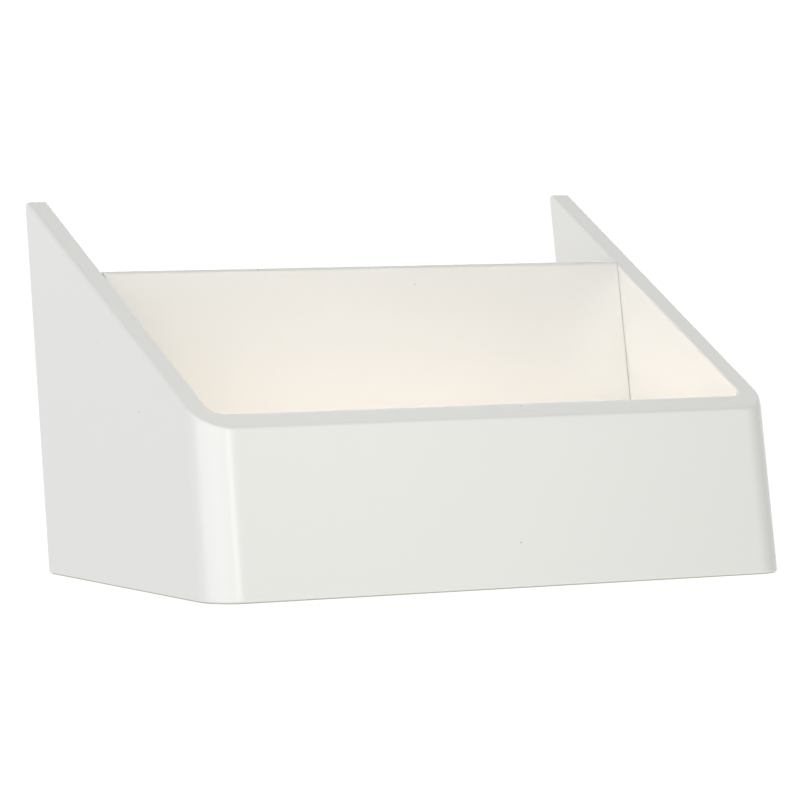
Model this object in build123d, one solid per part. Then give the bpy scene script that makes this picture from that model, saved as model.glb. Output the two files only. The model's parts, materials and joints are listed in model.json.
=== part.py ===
from build123d import *

import os
from math import atan, cos, radians, sin, tan

# A desk-top magazine and file holder in painted board, as separate pieces. Millimetres, +Z up.
#
# The front faces -Y. The origin is at the middle of the footprint of the whole holder, on the surface
# that it stands on. The pieces are first laid out with the front board's lower outside edge at Y = 0,
# and they are centred in Y when they are written.

# Overall sizes
WIDTH = 355.6            # outside, at the lower edge
WING_HEIGHT = 204.0      # tips of the wings, before rounding, above the boards' lower edges
FRONT_HEIGHT = 89.5      # outside edge of the front rim above the boards' lower edges
BASE_DEPTH = 197.0       # outside, at the lower edge
LEAN = radians(9.6)      # front, back panel and rear edges all lean back by this
TAPER = radians(0.75)    # each side board leans in by this
BOARD = 12.7             # stock of the walls and of the back panel

# Rounding
CORNER_R = 19.05         # outside of the two front corners
RIM_OUTER_R = 2.5        # also the outside of the wings' rear edges and tips
RIM_INNER_R = 1.6
FOOT_R = 1.0             # lower edges
PANEL_TOP_R = 2.5

# Corner posts and the splines in their joints
POST_FLAT = 6.0          # flat part of a post between its round and each joint
SPLINE_THICK = 3.0
SPLINE_WIDE = 12.0
SPLINE_FOOT = 16.0
SPLINE_TOP_FRONT = 74.0
SPLINE_TOP_SIDE = 80.0

# Floor
FLOOR_THICK = 6.0
FLOOR_LIFT = 6.0         # underside of the floor above the boards' lower edges
GROOVE_DEPTH = 5.0
FLOOR_CORNER_R = 6.0
FLOOR_REAR_GAP = 1.5     # the floor stops this far short of the wings' rear edges

# Back panel
PANEL_SETBACK = 128.0    # front face behind the front board's outside, at the lower edges
PANEL_TOP = 166.0        # crown of its top edge above the boards' lower edges
PANEL_GAP = 0.3          # open seam at each end
PANEL_SIDE_R = 0.3       # vertical edges

# Fasteners
DOWEL_R = 3.0
DOWEL_LONG = 24.0
DOWEL_IN_SIDE = 8.0
DOWEL_HEIGHTS = (45.0, 90.0, 135.0)
SCREW_R = 1.75
SCREW_HEAD_R = 3.5
SCREW_HEAD_LONG = 2.6
SCREW_HEAD_RIM = 0.3
SCREW_CROSS_WIDE = 3.8
SCREW_CROSS_SLOT = 0.9
SCREW_CROSS_DEEP = 1.2
SCREW_LONG = 28.0
SCREW_TIP_LONG = 4.0
SCREW_SPACING = 88.0
SCREW_COUNT = 4

# Foot pads
PAD_R = 5.0
PAD_THICK = 0.5
PAD_EDGE_R = 0.2

REACH = 400.0            # longer than any piece
LEAN_RUN = tan(LEAN)     # how far a leaning face goes back per millimetre of height
TAPER_RUN = tan(TAPER)   # how far a side face comes in per millimetre of height
TIP_DEPTH = BASE_DEPTH + LEAN_RUN * WING_HEIGHT
FRONT_RIM_Y = LEAN_RUN * FRONT_HEIGHT
RIM_SLOPE = atan((WING_HEIGHT - FRONT_HEIGHT) / (TIP_DEPTH - FRONT_RIM_Y))
WALL_RUN_Y = BOARD / cos(LEAN)     # a leaning wall's thickness measured along Y
WALL_RUN_X = BOARD / cos(TAPER)    # a tapering wall's thickness measured along X
CORNER_END = CORNER_R + POST_FLAT  # from the outside faces to a post's joints


def side_x(z, inset=0.0):
    """Half width at a height, measured to a face inset from the outside of the side board."""
    return WIDTH / 2 - TAPER_RUN * z - inset


def lean_y(z, setback=0.0):
    """Depth at a height of a leaning face, given its setback at the lower edges."""
    return setback + LEAN_RUN * z


def slab(corners_low, corners_high):
    """A closed solid with flat faces between two four-sided outlines."""
    count = len(corners_low)
    faces = [Face(Wire.make_polygon(corners_low)), Face(Wire.make_polygon(corners_high))]
    for index in range(count):
        following = (index + 1) % count
        ring = [corners_low[index], corners_low[following],
                corners_high[following], corners_high[index]]
        faces.append(Face(Wire.make_polygon(ring)))
    return Solid(Shell(faces))


def leaning_slab(x_low, x_high, setback_near, setback_far, z_low, z_high):
    """A block between two leaning faces. Each x limit is a function of height."""
    outlines = []
    for z in (z_low, z_high):
        near = lean_y(z, setback_near)
        far = lean_y(z, setback_far)
        outlines.append([(x_low(z), near, z), (x_high(z), near, z),
                         (x_high(z), far, z), (x_low(z), far, z)])
    return slab(*outlines)


def edges_along(solid, test):
    """The edges of a solid whose middle point passes a test."""
    return ShapeList([edge for edge in solid.edges() if test(edge.position_at(0.5))])


def height_above(plane, point):
    """Signed distance of a point from a plane."""
    return (point - plane.origin).dot(plane.z_dir)


def u_wall():
    """The left side, front and right side as one rounded wall, before it is cut into its pieces."""
    rim = Plane(origin=(0, FRONT_RIM_Y, FRONT_HEIGHT), x_dir=(1, 0, 0),
                z_dir=(0, -sin(RIM_SLOPE), cos(RIM_SLOPE)))

    def at_front(point):
        return point.Y < lean_y(point.Z, BOARD + 1)

    def on_rim(point):
        return abs(height_above(rim, point)) < 0.01

    def at_rear(point):
        return point.Y > lean_y(point.Z, BASE_DEPTH) - 0.01

    def at_foot(point):
        return point.Z < 0.01

    outer = leaning_slab(lambda z: -side_x(z), side_x, 0, BASE_DEPTH, 0, WING_HEIGHT + BOARD)
    upright = edges_along(outer, lambda p: at_front(p) and abs(p.X) > WIDTH / 4)
    outer = fillet(upright, CORNER_R)
    outer = split(outer, bisect_by=rim, keep=Keep.BOTTOM)
    outer = fillet(edges_along(outer, lambda p: not at_foot(p) and (on_rim(p) or at_rear(p))), RIM_OUTER_R)
    outer = fillet(edges_along(outer, at_foot), FOOT_R)

    inner = leaning_slab(lambda z: -side_x(z, WALL_RUN_X), lambda z: side_x(z, WALL_RUN_X),
                         WALL_RUN_Y, BASE_DEPTH + BOARD, -BOARD, WING_HEIGHT + 3 * BOARD)
    upright = edges_along(inner, lambda p: at_front(p) and abs(p.X) > WIDTH / 4)
    inner = fillet(upright, CORNER_R - BOARD)

    wall = outer - inner
    inner_rim = edges_along(wall, lambda p: on_rim(p) and not at_rear(p)
                            and abs(p.X) < side_x(p.Z, WALL_RUN_X - 0.1)
                            and p.Y > lean_y(p.Z, WALL_RUN_Y - 0.1))
    return fillet(inner_rim, RIM_INNER_R)


def cut_wall(wall):
    """The five pieces of the wall: one front board, two corner posts and two side boards."""
    joint_x = WIDTH / 2 - CORNER_END
    low = -BOARD
    high = WING_HEIGHT + BOARD
    front = leaning_slab(lambda z: -joint_x, lambda z: joint_x, -BOARD, CORNER_END, low, high)
    pieces = {"front_board": wall & front}
    for name, side in (("left", -1), ("right", 1)):
        near = leaning_slab(lambda z: side * joint_x, lambda z: side * REACH,
                            -BOARD, CORNER_END, low, high)
        behind = leaning_slab(lambda z: side * joint_x, lambda z: side * REACH,
                              CORNER_END, REACH, low, high)
        pieces[f"{name}_corner_post"] = wall & near
        pieces[f"{name}_side_board"] = wall & behind
    return pieces


def corner_splines():
    """Loose tongues across the joints of each corner post, in the middle of the wall."""
    splines = {}
    joint_x = WIDTH / 2 - CORNER_END
    half = SPLINE_WIDE / 2
    front_near = (WALL_RUN_Y - SPLINE_THICK) / 2
    side_near = (WALL_RUN_X - SPLINE_THICK) / 2
    for name, side in (("left", -1), ("right", 1)):
        splines[f"front_spline_{name}"] = leaning_slab(
            lambda z: side * (joint_x - half), lambda z: side * (joint_x + half),
            front_near, front_near + SPLINE_THICK, SPLINE_FOOT, SPLINE_TOP_FRONT)
        splines[f"side_spline_{name}"] = leaning_slab(
            lambda z: side * side_x(z, side_near + SPLINE_THICK),
            lambda z: side * side_x(z, side_near),
            CORNER_END - half, CORNER_END + half, SPLINE_FOOT, SPLINE_TOP_SIDE)
    return splines


def floor_panel():
    """The panel that the magazines stand on, with its edges in grooves in the wall."""
    middle = FLOOR_LIFT + FLOOR_THICK / 2
    half_width = side_x(middle, WALL_RUN_X - GROOVE_DEPTH)
    near = lean_y(middle, WALL_RUN_Y - GROOVE_DEPTH)
    far = lean_y(middle, BASE_DEPTH) - FLOOR_REAR_GAP
    panel = Pos(0, (near + far) / 2, middle) * Box(2 * half_width, far - near, FLOOR_THICK)
    front_corners = panel.edges().filter_by(Axis.Z).group_by(Axis.Y)[0]
    return fillet(front_corners, FLOOR_CORNER_R)


def back_panel():
    """The leaning panel between the wings, cut square at its top and open by a seam at each end."""
    foot = FLOOR_LIFT + FLOOR_THICK
    inset = WALL_RUN_X + PANEL_GAP
    panel = leaning_slab(lambda z: -side_x(z, inset), lambda z: side_x(z, inset),
                         PANEL_SETBACK, PANEL_SETBACK + WALL_RUN_Y, foot, PANEL_TOP + BOARD)
    top = Plane(origin=(0, lean_y(PANEL_TOP, PANEL_SETBACK), PANEL_TOP), x_dir=(1, 0, 0),
                z_dir=(0, sin(LEAN), cos(LEAN)))
    panel = split(panel, bisect_by=top, keep=Keep.BOTTOM)
    long_top = edges_along(panel, lambda p: abs(height_above(top, p)) < 0.01 and abs(p.X) < 1)
    panel = fillet(long_top, PANEL_TOP_R)
    ends = edges_along(panel, lambda p: abs(p.X) > side_x(p.Z, inset) - 0.01 and p.Z > foot + 0.01)
    return fillet(ends, PANEL_SIDE_R)


def panel_middle(z):
    """Depth of the back panel's middle plane at a height."""
    return lean_y(z, PANEL_SETBACK + WALL_RUN_Y / 2)


def panel_dowels():
    """Dowels that run across from the side boards into the ends of the back panel."""
    dowels = []
    for side in (-1, 1):
        for height in DOWEL_HEIGHTS:
            end = side_x(height, WALL_RUN_X - DOWEL_IN_SIDE)
            dowel = Cylinder(DOWEL_R, DOWEL_LONG, rotation=(0, 90, 0))
            dowel = chamfer(dowel.edges().filter_by(GeomType.CIRCLE), DOWEL_R / 6)
            dowels.append(Pos(side * (end - DOWEL_LONG / 2), panel_middle(height), height) * dowel)
    return dowels


def screw_places():
    """Where the screws' heads are: in a row under the middle of the back panel's lower edge."""
    y = panel_middle(FLOOR_LIFT + (FLOOR_THICK + SCREW_LONG) / 2)
    first = -SCREW_SPACING * (SCREW_COUNT - 1) / 2
    return [Pos(first + SCREW_SPACING * index, y, FLOOR_LIFT) for index in range(SCREW_COUNT)]


def screw_blank():
    """A countersunk screw on the Z axis without its cross recess, its head's face at Z = 0."""
    outline = Polyline((0, 0), (SCREW_HEAD_R, 0), (SCREW_HEAD_R, SCREW_HEAD_RIM),
                       (SCREW_R, SCREW_HEAD_LONG), (SCREW_R, SCREW_LONG - SCREW_TIP_LONG),
                       (0, SCREW_LONG), (0, 0))
    return revolve(Plane.XZ * make_face(outline), Axis.Z)


def floor_screw():
    """A countersunk screw with a cross recess in its head."""
    screw = screw_blank()
    for turn in (0, 90):
        screw -= Rot(0, 0, turn) * Box(SCREW_CROSS_WIDE, SCREW_CROSS_SLOT, 2 * SCREW_CROSS_DEEP)
    return screw


def foot_pads():
    """A round pad under each corner post and under the rear of each side board."""
    reach = (CORNER_R - BOARD / 2) * cos(radians(45))
    places = {"front": (WIDTH / 2 - CORNER_R + reach, CORNER_R - reach),
              "rear": (WIDTH / 2 - BOARD / 2, BASE_DEPTH - 2 * PAD_R)}
    pads = {}
    for row, (x, y) in places.items():
        for name, side in (("left", -1), ("right", 1)):
            pad = Cylinder(PAD_R, PAD_THICK, align=(Align.CENTER, Align.CENTER, Align.MAX))
            pad = fillet(pad.edges().filter_by(GeomType.CIRCLE).sort_by(Axis.Z)[0], PAD_EDGE_R)
            pads[f"{row}_{name}_pad"] = Pos(side * x, y, 0) * pad
    return pads


def seat(bodies, fitted):
    """Cut the housings of fitted pieces out of the bodies that hold them."""
    for piece in fitted:
        box = piece.bounding_box()
        for name, body in bodies.items():
            other = body.bounding_box()
            if all(getattr(box.min, axis) < getattr(other.max, axis)
                   and getattr(box.max, axis) > getattr(other.min, axis) for axis in "XYZ"):
                bodies[name] = body - piece
    return bodies


def holder():
    """Every node of the holder, by name."""
    floor = floor_panel()
    splines = corner_splines()
    dowels = panel_dowels()
    screws = [place * floor_screw() for place in screw_places()]
    screw_holes = [place * screw_blank() for place in screw_places()]
    boards = seat(cut_wall(u_wall()), [floor, *splines.values(), *dowels])
    boards["back_panel"] = seat({"panel": back_panel()}, [*dowels, *screw_holes])["panel"]
    boards["floor_panel"] = seat({"floor": floor}, screw_holes)["floor"]
    return {**boards, **splines, "panel_dowels": Compound(dowels),
            "floor_screws": Compound(screws), **foot_pads()}


nodes = holder()
extent = Compound(list(nodes.values())).bounding_box()
to_frame = Pos(0, -extent.center().Y, PAD_THICK)
os.makedirs("parts", exist_ok=True)
for node_name, shape in nodes.items():
    export_step(to_frame * shape, f"parts/{node_name}.step")
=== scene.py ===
"""Looks of the magazine file holder: finishes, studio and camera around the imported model."""
import json
from math import cos, pi, radians, sin

import bpy
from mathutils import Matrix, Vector

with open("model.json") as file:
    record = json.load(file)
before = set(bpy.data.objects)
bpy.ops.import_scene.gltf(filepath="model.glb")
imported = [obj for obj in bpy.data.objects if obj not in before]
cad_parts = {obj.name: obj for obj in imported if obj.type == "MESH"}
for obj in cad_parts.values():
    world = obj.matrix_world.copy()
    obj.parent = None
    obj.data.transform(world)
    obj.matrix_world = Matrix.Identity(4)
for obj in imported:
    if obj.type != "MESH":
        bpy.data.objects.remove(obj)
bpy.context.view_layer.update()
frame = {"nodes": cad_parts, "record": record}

# ---------------------------------------------------------------- camera
CAMERA_YAW = radians(29.58)
CAMERA_PITCH = radians(3.62)
CAMERA_PLACE = (-1.3609, -2.3927, 0.2681)
CAMERA_LENS = 226.1

camera = bpy.data.objects.new("camera", bpy.data.cameras.new("camera"))
bpy.context.collection.objects.link(camera)
camera.location = CAMERA_PLACE
camera.rotation_euler = (radians(90) - CAMERA_PITCH, 0, -CAMERA_YAW)
camera.data.lens = CAMERA_LENS
camera.data.sensor_width = 36
camera.data.clip_start = 0.01
camera.data.clip_end = 50
bpy.context.scene.camera = camera
bpy.context.scene.view_settings.view_transform = "Standard"


# ---------------------------------------------------------------- node trees
MIX_COLOUR_A = 6             # the colour sockets of a Mix node, whose names other sockets share
MIX_COLOUR_B = 7
MIX_COLOUR_RESULT = 2


class Tree:
    """Short calls for one node tree."""

    def __init__(self, tree):
        self.nodes = tree.nodes
        self.links = tree.links

    def feed(self, socket, value):
        """Sets a socket to a tuple, or links another node's output to it. Colours get their alpha."""
        if not isinstance(value, tuple):
            self.links.new(value, socket)
        elif socket.type == "RGBA":
            socket.default_value = (*value, 1)
        else:
            socket.default_value = value

    def mix(self, amount, colour_a, colour_b):
        """Colour a where the amount is 0, and colour b where it is 1."""
        node = self.nodes.new("ShaderNodeMix")
        node.data_type = "RGBA"
        self.links.new(amount, node.inputs["Factor"])
        for socket, colour in ((MIX_COLOUR_A, colour_a), (MIX_COLOUR_B, colour_b)):
            self.feed(node.inputs[socket], colour)
        return node.outputs[MIX_COLOUR_RESULT]


# ---------------------------------------------------------------- materials
class Finish(Tree):
    """A procedural material, with its patterns measured in metres along the piece's own axes."""

    def __init__(self, name, metallic=0.0):
        self.material = bpy.data.materials.new(name)
        self.material.use_nodes = True
        super().__init__(self.material.node_tree)
        self.shader = self.nodes["Principled BSDF"]
        self.shader.inputs["IOR"].default_value = 1.5
        self.shader.inputs["Metallic"].default_value = metallic
        self.place = self.nodes.new("ShaderNodeTexCoord").outputs["Object"]

    def stretched(self, scale):
        """The piece's own axes, each multiplied by a number."""
        mapping = self.nodes.new("ShaderNodeMapping")
        mapping.inputs["Scale"].default_value = scale
        self.links.new(self.place, mapping.inputs["Vector"])
        return mapping.outputs["Vector"]

    def noise(self, scale, detail=2.0, rough=0.5, place=None, distortion=0.0):
        """A cloudy pattern from 0 to 1. Scale is about the number of clouds in a metre."""
        texture = self.nodes.new("ShaderNodeTexNoise")
        texture.inputs["Scale"].default_value = scale
        texture.inputs["Detail"].default_value = detail
        texture.inputs["Roughness"].default_value = rough
        texture.inputs["Distortion"].default_value = distortion
        self.links.new(place or self.place, texture.inputs["Vector"])
        return texture.outputs["Fac"]

    def ramp(self, value, low, high, out_low, out_high):
        """Maps low..high of a value to out_low..out_high, and stops at both ends."""
        remap = self.nodes.new("ShaderNodeMapRange")
        remap.inputs["From Min"].default_value = low
        remap.inputs["From Max"].default_value = high
        remap.inputs["To Min"].default_value = out_low
        remap.inputs["To Max"].default_value = out_high
        self.links.new(value, remap.inputs["Value"])
        return remap.outputs["Result"]

    def bump(self, height, depth):
        """Relief of a given depth in metres."""
        node = self.nodes.new("ShaderNodeBump")
        node.inputs["Strength"].default_value = 1.0
        node.inputs["Distance"].default_value = depth
        self.links.new(height, node.inputs["Height"])
        self.drive("Normal", node.outputs["Normal"])

    def drive(self, name, value):
        """Links an output to the shader's input of that name."""
        self.links.new(value, self.shader.inputs[name])


def white_lacquer():
    """Sprayed semi-gloss lacquer: fine orange peel, small changes of gloss and a few dust specks."""
    finish = Finish("white_lacquer_finish")
    dust = finish.nodes.new("ShaderNodeTexVoronoi")
    dust.inputs["Scale"].default_value = 40
    finish.links.new(finish.place, dust.inputs["Vector"])
    speck = finish.ramp(dust.outputs["Distance"], low=0.014, high=0.022, out_low=1.0, out_high=0.0)
    paint = finish.mix(finish.noise(scale=500), (0.898, 0.898, 0.854), (0.902, 0.902, 0.858))
    gloss = finish.ramp(finish.noise(scale=18), low=0.3, high=0.7, out_low=0.20, out_high=0.22)
    finish.drive("Base Color", finish.mix(speck, paint, (0.52, 0.50, 0.46)))
    finish.drive("Roughness", gloss)
    finish.bump(finish.noise(scale=260, detail=1), depth=0.000003)
    return finish.material


def wood(name, dark, light, roughness):
    """Close-grained wood with its grain along X. The pores change the roughness and give the relief."""
    finish = Finish(name)
    along = finish.stretched((14, 260, 260))
    figure = finish.noise(scale=0.5, detail=6, rough=0.6, place=along, distortion=0.4)
    pores = finish.noise(scale=3.0, place=along)
    streaks = finish.ramp(figure, low=0.35, high=0.65, out_low=0, out_high=1)
    spread = 0.06
    gloss = finish.ramp(pores, low=0.3, high=0.7, out_low=roughness - spread, out_high=roughness + spread)
    finish.drive("Base Color", finish.mix(streaks, dark, light))
    finish.drive("Roughness", gloss)
    finish.bump(pores, depth=0.00004)
    return finish.material


def cloudy(name, scale, dark, light, roughness, metallic=0.0):
    """A fine even grain that changes the colour and, between two values, the roughness."""
    finish = Finish(name, metallic=metallic)
    cloud = finish.noise(scale=scale)
    finish.drive("Base Color", finish.mix(cloud, dark, light))
    smooth, rough = roughness
    finish.drive("Roughness", finish.ramp(cloud, low=0.3, high=0.7, out_low=smooth, out_high=rough))
    finish.bump(cloud, depth=0.00001)
    return finish.material


FINISHES = {
    "white_lacquer": white_lacquer(),
    "honey_ply": wood("honey_ply_finish", dark=(0.75, 0.46, 0.27), light=(0.85, 0.56, 0.37),
                      roughness=0.5),
    "beech": wood("beech_finish", dark=(0.62, 0.42, 0.26), light=(0.74, 0.55, 0.37), roughness=0.6),
    "zinc_steel": cloudy("zinc_steel_finish", scale=900, dark=(0.60, 0.61, 0.62),
                         light=(0.76, 0.77, 0.78), roughness=(0.28, 0.42), metallic=1.0),
    "clear_rubber": cloudy("clear_rubber_finish", scale=500, dark=(0.50, 0.50, 0.49),
                           light=(0.62, 0.62, 0.60), roughness=(0.4, 0.55)),
}
for subpart in frame["record"]["subparts"]:
    for material_slot in frame["nodes"][subpart["node"]].material_slots:
        material_slot.material = FINISHES[subpart["material_slot"]]


# ---------------------------------------------------------------- studio
AIM = Vector((0, 0, 0.08))   # what the softboxes point at
ROOM_GLOWS = (               # bearing in degrees and colour: cool left, warm front, white back
    (205, (1.41, 1.45, 1.56)),
    (270, (1.10, 1.08, 1.05)),
    (60, (2.35, 2.35, 2.33)),
    (90, (0.96, 0.96, 0.96)),
)
GLOW_RISE = radians(12)      # how far the glows' middles are above eye level
GLOW_FALLOFF = 8.0           # a higher number makes a glow narrower
FLOOR_GLOW = 0.747           # brightness of the floor as a light, which the camera doesn't see
SHADOW_REACH = 0.02          # how far the holder darkens the floor that the camera sees
BACKDROP = 1.05              # brightness that the camera sees behind the holder
GAP_SHADE = (0.42, 0.36, 0.29)   # what the camera sees deep in the gap under the holder
GAP_CONTRAST = 2.5           # how quickly the gap's shade ends outside the holder
GAP_SAMPLES = 16
FLOOR_REACH = 12             # from the holder to the floor's edges


def area_light(name, place, wide, tall, brightness, tint):
    """A rectangular light that shines down and that the camera doesn't see."""
    data = bpy.data.lights.new(name, "AREA")
    data.shape = "RECTANGLE"
    data.size = wide
    data.size_y = tall
    data.energy = brightness * pi * wide * tall
    data.color = tint
    light = bpy.data.objects.new(name, data)
    bpy.context.collection.objects.link(light)
    light.location = place
    light.visible_camera = False
    return light


def softbox(name, bearing, distance, height, wide, tall, brightness, tint):
    """An area light turned to the holder. Bearing 0 is +X, and 270 degrees is the front."""
    light = area_light(name, (distance * cos(bearing), distance * sin(bearing), height), wide, tall,
                       brightness, tint)
    light.rotation_euler = (AIM - light.location).to_track_quat("-Z", "Y").to_euler()


class StageTree(Tree):
    """Short calls for the node trees of the room and the floor."""

    def vector(self, operation, *values):
        node = self.nodes.new("ShaderNodeVectorMath")
        node.operation = operation
        for socket, value in zip(node.inputs, values):
            self.feed(socket, value)
        return node

    def math(self, operation, value, number):
        node = self.nodes.new("ShaderNodeMath")
        node.operation = operation
        self.links.new(value, node.inputs[0])
        node.inputs[1].default_value = number
        return node.outputs[0]

    def seen_or_lighting(self, seen, lighting):
        """One colour for what the camera sees and another for what lights the scene."""
        return self.mix(self.nodes.new("ShaderNodeLightPath").outputs["Is Camera Ray"], lighting, seen)

    def glow(self, bearing, colour):
        """A soft light from one side of the room, brightest at its middle and dark opposite to it."""
        middle = (cos(bearing) * cos(GLOW_RISE), sin(bearing) * cos(GLOW_RISE), sin(GLOW_RISE))
        towards = self.nodes.new("ShaderNodeTexCoord").outputs["Generated"]
        cosine = self.vector("DOT_PRODUCT", towards, middle).outputs["Value"]
        nearness = self.math("MULTIPLY", self.math("ADD", cosine, 1.0), 0.5)   # from 1 down to 0
        spread = self.math("POWER", nearness, GLOW_FALLOFF)
        light = self.vector("SCALE", colour)
        self.links.new(spread, light.inputs["Scale"])
        return light.outputs["Vector"]


def room():
    """The lit room around the holder. The camera sees only the even backdrop."""
    world = bpy.data.worlds.new("studio")
    bpy.context.scene.world = world
    world.use_nodes = True
    tree = StageTree(world.node_tree)
    light = (0, 0, 0)
    for bearing, colour in ROOM_GLOWS:
        light = tree.vector("ADD", light, tree.glow(radians(bearing), colour)).outputs["Vector"]
    backdrop = (BACKDROP, BACKDROP, BACKDROP)
    tree.links.new(tree.seen_or_lighting(backdrop, light), tree.nodes["Background"].inputs["Color"])


def studio_floor():
    """A white floor that glows. The camera sees it darken only in the gap under the holder."""
    mesh = bpy.data.meshes.new("studio_floor")
    corners = [(x * FLOOR_REACH, y * FLOOR_REACH, 0) for x, y in ((-1, -1), (1, -1), (1, 1), (-1, 1))]
    mesh.from_pydata(corners, [], [(0, 1, 2, 3)])
    floor = bpy.data.objects.new("studio_floor", mesh)
    bpy.context.collection.objects.link(floor)
    material = bpy.data.materials.new("studio_floor")
    material.use_nodes = True
    tree = StageTree(material.node_tree)
    openness = tree.nodes.new("ShaderNodeAmbientOcclusion")
    openness.inputs["Distance"].default_value = SHADOW_REACH
    openness.samples = GAP_SAMPLES
    lit = tree.math("MULTIPLY", openness.outputs["AO"], GAP_CONTRAST)
    seen = tree.mix(lit, GAP_SHADE, (BACKDROP, BACKDROP, BACKDROP))
    shader = tree.nodes["Principled BSDF"]
    shader.inputs["Base Color"].default_value = (0, 0, 0, 1)
    shader.inputs["Roughness"].default_value = 1.0
    shader.inputs["Specular IOR Level"].default_value = 0.0
    shader.inputs["Emission Strength"].default_value = 1.0
    glow = (FLOOR_GLOW, FLOOR_GLOW, FLOOR_GLOW)
    tree.links.new(tree.seen_or_lighting(seen, glow), shader.inputs["Emission Color"])
    mesh.materials.append(material)


softbox("left_softbox", radians(182), distance=1.2, height=0.42, wide=0.5, tall=0.8, brightness=0.71,
        tint=(0.971, 1, 1.079))
softbox("front_strip", radians(255), distance=0.5, height=0.22, wide=0.12, tall=0.4, brightness=2.1,
        tint=(1.013, 1, 0.984))
bin_light = area_light("bin_light", (-0.01, -0.035, 0.5), wide=0.26, tall=0.06, brightness=5.15,
                       tint=(0.71, 1, 1.46))
bin_light.data.spread = radians(8)
room()
studio_floor()
